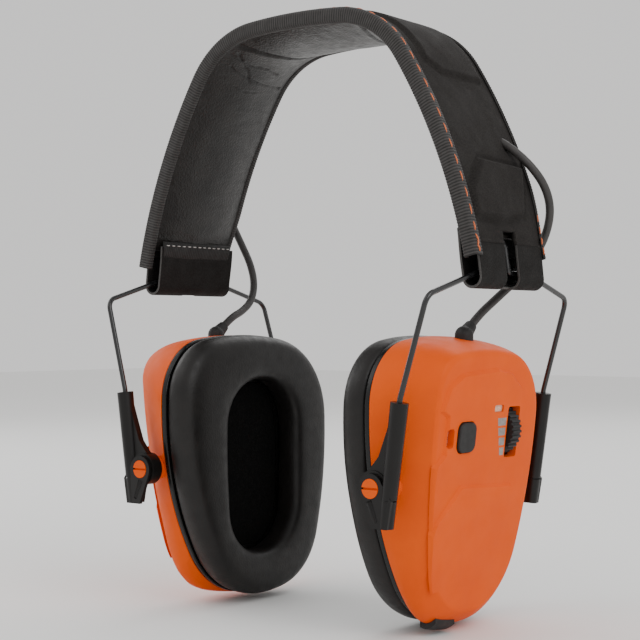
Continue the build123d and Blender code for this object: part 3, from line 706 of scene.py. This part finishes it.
CREASES = [                       # (depth, half width, line through the pad in length and width)
    (1.3, 2.0, [(31, -21), (28, -10), (25, 0), (23, 18)]),
    (0.60, 0.75, [(43, -19), (46, -7), (48, 3), (50, 18)]),
    (0.50, 0.65, [(35, -17), (40, -11), (43, -7), (49, -3)]),
    (0.45, 0.65, [(37, -20), (39, -8), (38, 0), (41, 9)]),
    (0.40, 0.60, [(52, -12), (54, -4), (53, 6)]),
]


def distance_to(point, start, end):
    """How far a point is from a straight line between two others."""
    x, y = point[0] - start[0], point[1] - start[1]
    dx, dy = end[0] - start[0], end[1] - start[1]
    along = max(0.0, min(1.0, (x * dx + y * dy) / (dx ** 2 + dy ** 2)))
    return math.hypot(x - along * dx, y - along * dy)


def crease_depth(s, y):
    """The depth of the pad's creases at a place on it."""
    total = 0.0
    for depth, half_width, line in CREASES:
        nearest = min(distance_to((abs(s), y), *ends) for ends in zip(line, line[1:]))
        nearest += 0.5 * wrinkle((s, y, 31), 2.5)
        total += depth * bulge(nearest, half_width)
    return total


PAD_HALF_WIDTH = 22.6
PAD_BACK, PAD_EDGE = 3.6, 4.9     # the depths of its hidden back and of its visible face's edge
PAD_RISE, PAD_TOP_RISE, PAD_TOP_HALF_LENGTH = 4.0, 0.9, 34
PAD_END_LENGTH = 9.0              # over which the pad thins at its ends
PAD_MESH, PAD_BACK_MESH, PAD_SECTIONS = 0.75, 2.0, 0.6
SHOULDERS = (28, 75)              # the lengths between which its fine folds are strongest


def make_pad():
    """The head pad: leatherette over foam, crowned between the bindings, creased at the shoulders."""
    def section(s):
        points = []
        end = min(1.0, (PAD_HALF_LENGTH - abs(s)) / PAD_END_LENGTH) ** 0.5
        full = PAD_RISE + PAD_TOP_RISE * bulge(s, PAD_TOP_HALF_LENGTH)
        strength = 1.0 if SHOULDERS[0] < abs(s) < SHOULDERS[1] else 0.4
        for y in steps(-PAD_HALF_WIDTH, PAD_HALF_WIDTH, PAD_MESH):
            crown = full * (1 - abs(y / PAD_HALF_WIDTH) ** 1.9)
            folds = 0.16 * wrinkle((s, y * 0.25, 5), 2.6) * bulge(y, 21) * strength
            folds += 0.35 * wrinkle((s, y, 2), 15) - crease_depth(s, y)
            points.append(band_point(s, y, PAD_EDGE + (crown + folds * min(1.0, crown)) * end))
        for y in steps(PAD_HALF_WIDTH, -PAD_HALF_WIDTH, PAD_BACK_MESH):
            points.append(band_point(s, y, PAD_BACK))
        return points

    along = steps(-PAD_HALF_LENGTH, PAD_HALF_LENGTH, PAD_SECTIONS)
    pad = add_object("head_pad", *rings([section(s) for s in along]), "headband", [M["pad"]])
    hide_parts("band_pad")


FRONT_WRAP, REAR_WRAP, INNER_WRAP = 4.7, 1.7, 3.0     # how far the tape reaches over the band
TAPE_PROUD = 0.1                  # how far the tape stands out from the band's faces
TAPE_RADIUS, TAPE_THICKNESS = 1.5, 0.75
RIB_PITCH, RIB_HEIGHT = 1.05, 0.22
FACE_DEPTH = 1.3                  # the tape's points within this depth of a face lie on that face


def binding_profile(outer_wrap):
    """The binding's outer line in (distance from the band's edge, depth), with round corners."""
    radius, thickness, proud = TAPE_RADIUS, BAND_EDGE_THICKNESS, TAPE_PROUD
    corner = [math.radians(90 * k / 4) for k in range(5)]
    line = [(outer_wrap, 0.4), (outer_wrap - 0.3, 0.12)]
    if outer_wrap > 3:
        line += [(3.4, 0.0), (2.4, -proud)]
    for turn in corner:
        line.append((radius - radius * math.sin(turn), radius - proud - radius * math.cos(turn)))
    line.append((-0.12, thickness / 2))
    for turn in corner:
        depth = thickness - radius + proud + radius * math.sin(turn)
        line.append((radius - radius * math.cos(turn), depth))
    return line + [(INNER_WRAP - 0.4, thickness + proud), (INNER_WRAP, thickness - 0.2)]


def make_binding(name, edge):
    """Grosgrain tape folded over one edge of the band; edge is -1 at the front and 1 at the rear."""
    line = binding_profile(FRONT_WRAP if edge < 0 else REAR_WRAP)
    deepest = BAND_EDGE_THICKNESS - TAPE_THICKNESS
    inner = [(max(d, TAPE_THICKNESS), min(max(h, TAPE_THICKNESS), deepest)) for d, h in line]
    painted_shading = []

    def section(s):
        rib = 0.5 - 0.5 * math.cos(2 * math.pi * s / RIB_PITCH)
        lift = RIB_HEIGHT * (rib - 1)
        waver = 0.2 * wrinkle((s, edge * 4, 1), 9)
        points = []
        for k, (distance, depth) in enumerate(line):
            outer, under = depth < FACE_DEPTH, depth > BAND_EDGE_THICKNESS - FACE_DEPTH
            out = distance + (waver if k < 2 else 0) - (0 if outer or under else lift)
            down = depth - (lift if outer else 0) + (lift if under else 0)
            points.append(band_point(s, edge * (BAND_HALF_WIDTH - out), down))
            # painted light: darker in the ribs' valleys, lighter on their ridges, and lighter still
            # along the tape's two edges as a painted highlight
            painted_shading.append(max(rib, 0.8 if k in (0, len(line) - 1) else 0))
        for distance, depth in reversed(inner):
            points.append(band_point(s, edge * (BAND_HALF_WIDTH - distance), depth))
            painted_shading.append(0.3)
        return points

    sections = [section(s) for s in steps(-BINDING_HALF_LENGTH, BINDING_HALF_LENGTH, RIB_PITCH / 4)]
    tape = add_object(name + "_tape", *rings(sections), "headband", [M["tape"]])
    # the painted shading goes into the tape's rib attribute, which its material reads
    tape.data.attributes.new("rib", "FLOAT", "POINT").data.foreach_set("value", painted_shading)
    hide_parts(name)


STITCH_RINGS, STITCH_SIDES = 7, 8
STITCH_SINK = 0.35                # the share of a stitch's height by which its ends go into the cloth
STITCH_TIP = 0.55                 # the share of its radius that a stitch has at its ends


def stitch(start, end, lift, radius):
    """Rings of one stitch: a thread that rises out of the cloth and goes back in. Points in mm."""
    start, end = Vector(start), Vector(end)
    across = (end - start).cross(lift).normalized()
    up = lift.normalized()
    sections = []
    for k in range(STITCH_RINGS):
        t = k / (STITCH_RINGS - 1)
        arch = math.sin(math.pi * t)
        middle = start.lerp(end, t) + lift * (arch ** 0.6 - STITCH_SINK)
        size = radius * (STITCH_TIP + (1 - STITCH_TIP) * arch)
        ring = []
        for j in range(STITCH_SIDES):
            turn = 2 * math.pi * j / STITCH_SIDES
            ring.append(middle + across * (size * math.cos(turn)) + up * (size * math.sin(turn)))
        sections.append(ring)
    return sections


def make_stitches(name, places, material, radius, height):
    """A row of stitches in the band, as one piece; places are (start, end, outward)."""
    vertices, faces = [], []
    for start, end, outward in places:
        points, sides = rings(stitch(start, end, Vector(outward) * height, radius))
        base = len(vertices)
        vertices += points
        faces += [tuple(base + i for i in face) for face in sides]
    row = add_object(name, vertices, faces, "headband", [material])


def band_stitch(s_start, s_end, y_start, y_end, depth):
    """One stitch on the band's outer face."""
    s, y = (s_start + s_end) / 2, (y_start + y_end) / 2
    outward = Vector(band_point(s, y, depth)) - Vector(band_point(s, y, depth + 1))
    return band_point(s_start, y_start, depth), band_point(s_end, y_end, depth), outward


SEAM_Y = -(BAND_HALF_WIDTH - 2.3)
SEAM_PITCH, SEAM_HALF_COUNT, SEAM_HALF_STITCH = 5.9, 21, 1.9
SEAM_END_STITCHES = ((126.6, 129.4, 0.5), (128.0, 131.0, -0.5), (130.4, 132.6, 0.2))
REAR_STITCHES, REAR_HALF_STITCH = (118.5, 123.0, 127.0, 130.5), 1.4


def make_binding_stitches():
    """The orange seam along the front tape, and the few stitches at the rear tape's ends."""
    places = []
    for k in range(-SEAM_HALF_COUNT, SEAM_HALF_COUNT + 1):
        middle = SEAM_PITCH * k
        start, end = middle - SEAM_HALF_STITCH, middle + SEAM_HALF_STITCH
        drift = 0.3 * wrinkle((middle, 9, 0), 7)
        places.append(band_stitch(start, end, SEAM_Y + drift, SEAM_Y + drift * 0.4, 0.12))
    for side in (-1, 1):
        for start, end, drift in SEAM_END_STITCHES:
            places.append(band_stitch(side * start, side * end, SEAM_Y - drift, SEAM_Y + drift, 0.0))
    make_stitches("front_seam_stitches", places, M["orange_thread"], 0.32, 0.22)
    places = []
    for side in (-1, 1):
        for middle in REAR_STITCHES:
            start, end = side * (middle - REAR_HALF_STITCH), side * (middle + REAR_HALF_STITCH)
            places.append(band_stitch(start, end, 23.1, 22.8, 0.25))
    make_stitches("rear_seam_stitches", places, M["orange_thread"], 0.28, 0.2)


HEM_LOW, HEM_HIGH, HEM_HALF_WIDTH = 121.6, 128.6, 19.6
HEM_FACE = (                      # the visible face: (length along the band, depth)
    (HEM_LOW, 7.6), (HEM_LOW + 0.5, 8.4), (HEM_LOW + 2.6, 8.7), (HEM_HIGH - 0.6, 8.6), (HEM_HIGH, 8.1),
)
HEM_BACK = ((HEM_HIGH, 7.85), (HEM_LOW, 7.0))
HEM_RIB_PITCH, HEM_RIB_HEIGHT = 1.0, 0.07
HEM_SEAM, HEM_SEAM_DEPTH = HEM_LOW + 1.3, 8.5
HEM_STITCH_PITCH, HEM_STITCH_HALF_COUNT, HEM_HALF_STITCH = 3.0, 6, 1.0


def make_hem(side):
    """The ribbed tape sewn over the pad's end, and its row of light stitches."""
    sign = SIDES[side]

    def section(y):
        rib = HEM_RIB_HEIGHT * math.cos(2 * math.pi * y / HEM_RIB_PITCH)
        face = [band_point(sign * s, y, depth + rib) for s, depth in HEM_FACE]
        return face + [band_point(sign * s, y, depth) for s, depth in HEM_BACK]

    sections = [section(y) for y in steps(-HEM_HALF_WIDTH, HEM_HALF_WIDTH, HEM_RIB_PITCH / 4)]
    hem = add_object(side + "_hem_tape", *rings(sections), "headband", [M["hem_tape"]])
    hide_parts(side + "_pad_hem")
    places = []
    for k in range(-HEM_STITCH_HALF_COUNT, HEM_STITCH_HALF_COUNT + 1):
        y, s = HEM_STITCH_PITCH * k, sign * HEM_SEAM
        first = band_point(s, y - HEM_HALF_STITCH, HEM_SEAM_DEPTH)
        last = band_point(s, y + HEM_HALF_STITCH, HEM_SEAM_DEPTH)
        under, over = (Vector(band_point(s, y, HEM_SEAM_DEPTH + rise)) for rise in (0, 1))
        places.append((first, last, over - under))
    make_stitches(side + "_hem_stitches", places, M["grey_thread"], 0.24, 0.25)


LOOP_CENTRE = (74.5, 69.3)        # of the strap's round bottom, in X and Z
LOOP_RADIUS = 3.95
LOOP_HALF_WIDTH = 20.6
LOOP_START, LOOP_END = (128.8, 0, 0.75), (123.5, 0, 7.9)      # its ends, as places on the band
LOOP_BOW = 0.2                    # how much its inner leg is bowed
LOOP_SLOT_DEPTH = 1.2             # how far the slot reaches past the lowest point
LOOP_THICKNESS = 1.0


def loop_line(t):
    """The strap's outer line in X and Z, from the cover's end (0), round the bottom and up (1)."""
    x, z = LOOP_CENTRE
    outer, inner = x + LOOP_RADIUS, x - LOOP_RADIUS
    start_x, _, start_z = band_point(*LOOP_START)
    end_x, _, end_z = band_point(*LOOP_END)
    outer_leg = math.hypot(start_x - outer, start_z - z)
    bottom = math.pi * LOOP_RADIUS
    inner_leg = math.hypot(end_x - inner, end_z - z)
    walked = t * (outer_leg + bottom + inner_leg)
    if walked <= outer_leg:
        f = walked / outer_leg
        return start_x + (outer - start_x) * f, start_z + (z - start_z) * f
    walked -= outer_leg
    if walked <= bottom:
        turn = walked / LOOP_RADIUS
        return x + LOOP_RADIUS * math.cos(turn), z - LOOP_RADIUS * math.sin(turn)
    f = (walked - bottom) / inner_leg
    bow = LOOP_BOW * math.sin(math.pi * f)
    return inner + (end_x - inner) * f - bow, z + (end_z - z) * f


def make_loop(side):
    """The webbing strap that holds the yoke, with its slot."""
    sign = SIDES[side]

    def point(t, y):
        x, z = loop_line(t)
        ripple = 0.12 * wrinkle((t * 40, y, sign * 5), 9)
        return sign * (x + ripple), y * (1 - 0.012 * math.sin(math.pi * t)), z

    def slot(t, y):
        return abs(y) < WIRE_SLOT_HALF_WIDTH and loop_line(t)[0] > LOOP_CENTRE[0] - LOOP_SLOT_DEPTH

    sheet = grid(steps(0, 1, 1 / 60), steps(-LOOP_HALF_WIDTH, LOOP_HALF_WIDTH, 0.82), point, slot)
    # the strap's rim takes the second, lighter material: a painted highlight on its cut edges
    strap = add_object(side + "_loop_strap", *sheet, "headband", [M["webbing"], M["strap_edge_highlight"]])
    face_outward(strap, (sign * LOOP_CENTRE[0], 0, LOOP_CENTRE[1] + 3))
    thicken(strap, LOOP_THICKNESS, rim_material=1)
    edges = strap.modifiers.new("edges", "BEVEL")
    edges.width = 0.22 * MM
    edges.segments = 2
    edges.limit_method = "ANGLE"
    apply_modifiers(strap)
    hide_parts(side + "_end_loop")


# ---------------------------------------------------------------- ear cups' soft parts
NEAR = 0.15                       # how far an edge may be from the x where an outline is read


def ear_centre(side):
    """The middle of the ear opening, in Y and Z."""
    low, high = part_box(side + "_foam_insert")
    return (low[1] + high[1]) / 2 / MM, (low[2] + high[2]) / 2 / MM


def outline_at(node, side, x, outer, count):
    """A CAD node's outer or inner outline at one x: its radii at even angles about the ear's centre."""
    y0, z0 = ear_centre(side)
    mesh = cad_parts[node].data
    places = [v.co / MM for v in mesh.vertices]
    radii = [0.0 if outer else math.inf] * count
    for edge in mesh.edges:
        a, b = (places[end] for end in edge.vertices)
        if abs(a.x - x) > NEAR or abs(b.x - x) > NEAR:
            continue
        for n in range(count):
            turn = 2 * math.pi * n / count
            c, s = math.cos(turn), math.sin(turn)
            across_a = (a.z - z0) * c - (a.y - y0) * s
            across_b = (b.z - z0) * c - (b.y - y0) * s
            if across_a * across_b > 0 or across_a == across_b:
                continue
            f = across_a / (across_a - across_b)
            radius = (a.y + (b.y - a.y) * f - y0) * c + (a.z + (b.z - a.z) * f - z0) * s
            if radius > 0:
                radii[n] = max(radii[n], radius) if outer else min(radii[n], radius)
    return radii


# The cushion's section, as shares of its width and its thickness: from its outer back edge over the
# crown to its inner back edge, and back across the flat that lies on the cup.
CUSHION_CROWN = (
    (0.015, 0.0), (-0.015, 0.10), (-0.040, 0.25), (-0.048, 0.42), (-0.036, 0.58), (0.000, 0.74),
    (0.055, 0.86), (0.130, 0.94), (0.240, 0.985), (0.38, 1.0), (0.52, 1.0), (0.66, 0.995),
    (0.78, 0.975), (0.865, 0.93), (0.925, 0.85), (0.962, 0.72), (0.98, 0.55), (0.985, 0.32),
    (0.975, 0.14), (0.955, 0.0),
)
CUSHION_BACK = ((0.7, 0.0), (0.5, 0.0), (0.3, 0.0))
CUSHION_SECTIONS, CUSHION_PUFF = 128, 0.175


def make_ear_cushion(side):
    """A leatherette ring over foam, crowned all round."""
    sign = SIDES[side]
    node = side + "_cushion"
    low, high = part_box(node)
    front, back = sorted((abs(low[0]) / MM, abs(high[0]) / MM))
    outer = outline_at(node, side, sign * back, True, CUSHION_SECTIONS)
    inner = outline_at(node, side, sign * back, False, CUSHION_SECTIONS)
    y0, z0 = ear_centre(side)
    sections = []
    for n in range(CUSHION_SECTIONS):
        angle = 2 * math.pi * n / CUSHION_SECTIONS
        c, s = math.cos(angle), math.sin(angle)
        puff = CUSHION_PUFF * wrinkle((c * 6, s * 6, sign * 3), 3)
        ring = []
        for across, forward in CUSHION_CROWN + CUSHION_BACK:
            radius = outer[n] + (inner[n] - outer[n]) * across
            x = back - (back - front) * forward - puff * forward
            ring.append((sign * x, y0 + radius * c, z0 + radius * s))
        sections.append(ring)
    body = rings(sections, closed=True)
    cushion = add_object(side + "_ear_cushion", *body, side + "_cup", [M["cushion"]])
    subdivide(cushion)
    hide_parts(node)


FOAM_THICKNESS, FOAM_EXPONENT, FOAM_POINTS = 0.9, 2.9, 72
FOAM_EDGE = ((0.97, 0.2), (0.92, 0.05))       # its rounded edge: (share of its size, x behind its face)
FOAM_WALL = 0.5                   # x behind its face where the edge begins
FOAM_RINGS = [0.10 + 0.80 * k / 9 for k in range(8, -1, -1)]


def make_ear_foam(side):
    """The soft foam sheet at the bottom of the ear opening."""
    sign = SIDES[side]
    node = side + "_foam_insert"
    low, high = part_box(node)
    back = max(abs(low[0]), abs(high[0])) / MM
    front = back - FOAM_THICKNESS
    y0, z0 = ear_centre(side)
    half_y, half_z = (high[1] - low[1]) / 2 / MM, (high[2] - low[2]) / 2 / MM

    def ring(size, x):
        """A superellipse of a share of the sheet's size."""
        places = []
        for k in range(FOAM_POINTS):
            turn = 2 * math.pi * k / FOAM_POINTS
            c, s = math.cos(turn), math.sin(turn)
            y = math.copysign(abs(c) ** (2 / FOAM_EXPONENT), c) * half_y * size
            z = math.copysign(abs(s) ** (2 / FOAM_EXPONENT), s) * half_z * size
            places.append((sign * x, y0 + y, z0 + z))
        return places

    sections = [ring(1.0, back), ring(1.0, front + FOAM_WALL)]
    sections += [ring(size, front + behind) for size, behind in FOAM_EDGE]
    sections += [ring(size, front) for size in FOAM_RINGS]
    foam = add_object(side + "_ear_foam", *rings(sections), side + "_cup", [M["foam"]])
    subdivide(foam)
    displace(foam, lambda p: 0.10 * wrinkle(p, 2.6) + 0.08 * wrinkle(p, 0.9) - 0.15)
    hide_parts(node)


# ---------------------------------------------------------------- printed marks
FACE_X, FACE_TILT, TILT_Z = 68.0, math.radians(7.0), 20.0     # the right cup's face leans about TILT_Z
MARK_RIGHT, MARK_BOTTOM = 10.5, 7.9
MARK_WIDTHS, MARK_HEIGHT, MARK_GAP = (2.7, 3.6, 4.5, 5.3), 2.75, 0.75
MARK_INSET, MARK_SLANT = 0.25, 0.5
MARK_LEVELS = (0.9, 1.05)         # above the leaning face, from inside its raised panel to just above it
BOX_SIDES = ((3, 2, 1, 0), (4, 5, 6, 7), (0, 1, 5, 4), (1, 2, 6, 5), (2, 3, 7, 6), (3, 0, 4, 7))


def on_face(height, y, z):
    """A point at a height above the right cup's leaning face."""
    c, s = math.cos(FACE_TILT), math.sin(FACE_TILT)
    up = z - TILT_Z
    return FACE_X + height * c + up * s, y, TILT_Z - height * s + up * c


def make_volume_marks():
    """Four printed bars beside the volume wheel, wider towards the top."""
    vertices, faces = [], []
    for k, width in enumerate(MARK_WIDTHS):
        low = MARK_BOTTOM + k * (MARK_HEIGHT + MARK_GAP)
        high = low + MARK_HEIGHT
        left, right = MARK_RIGHT - width, MARK_RIGHT - MARK_INSET
        corners = [(left, low), (right, low), (right, high), (left - MARK_SLANT, high)]
        base = len(vertices)
        vertices += [on_face(level, y, z) for level in MARK_LEVELS for y, z in corners]
        faces += [tuple(base + i for i in side) for side in BOX_SIDES]
    add_object("volume_marks", vertices, faces, "right_cup", [M["ink"]], smooth=False)


# ---------------------------------------------------------------- finishes of the CAD pieces
NODE_FINISHES = {                 # by node name, less its side
    "shell": "orange", "pivot_screws": "orange", "seal_plate": "gloss_black", "front_arm": "black",
    "rear_arm": "black", "front_pivot_plate": "black", "rear_pivot_plate": "black", "yoke_wire": "wire",
    "wire_clip": "black", "clip_rivets": "webbing", "housing_screws": "steel", "speaker": "dark_steel",
    "strain_relief": "rubber", "microphone": "dark_steel", "mic_mesh": "grille",
    "spring_band": "dark_steel", "band_lead": "lead", "indicator_window": "window",
    "power_button": "rubber", "tact_switch": "black", "circuit_board": "board",
    "volume_wheel": "rubber", "potentiometer_shaft": "steel",
    "potentiometer": "black", "port_cover": "rubber", "charging_socket": "steel", "battery_cell": "foil",
}


def finish_nodes():
    """Gives each CAD node that shows its material. Pieces made above stand for the other nodes."""
    for name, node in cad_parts.items():
        side, _, rest = name.partition("_")
        kind = rest if side in SIDES else name
        if kind in NODE_FINISHES:
            node.data.materials.clear()
            node.data.materials.append(M[NODE_FINISHES[kind]])


make_camera()
make_lead("right", RIGHT_ROUTE)
make_lead("left", LEFT_ROUTE)
make_lights()
make_floor()
finish_nodes()
make_cover()
make_pad()
make_binding("front_binding", -1)
make_binding("rear_binding", 1)
make_binding_stitches()
for cup_side in SIDES:
    make_hem(cup_side)
    make_loop(cup_side)
    make_ear_cushion(cup_side)
    make_ear_foam(cup_side)
make_volume_marks()
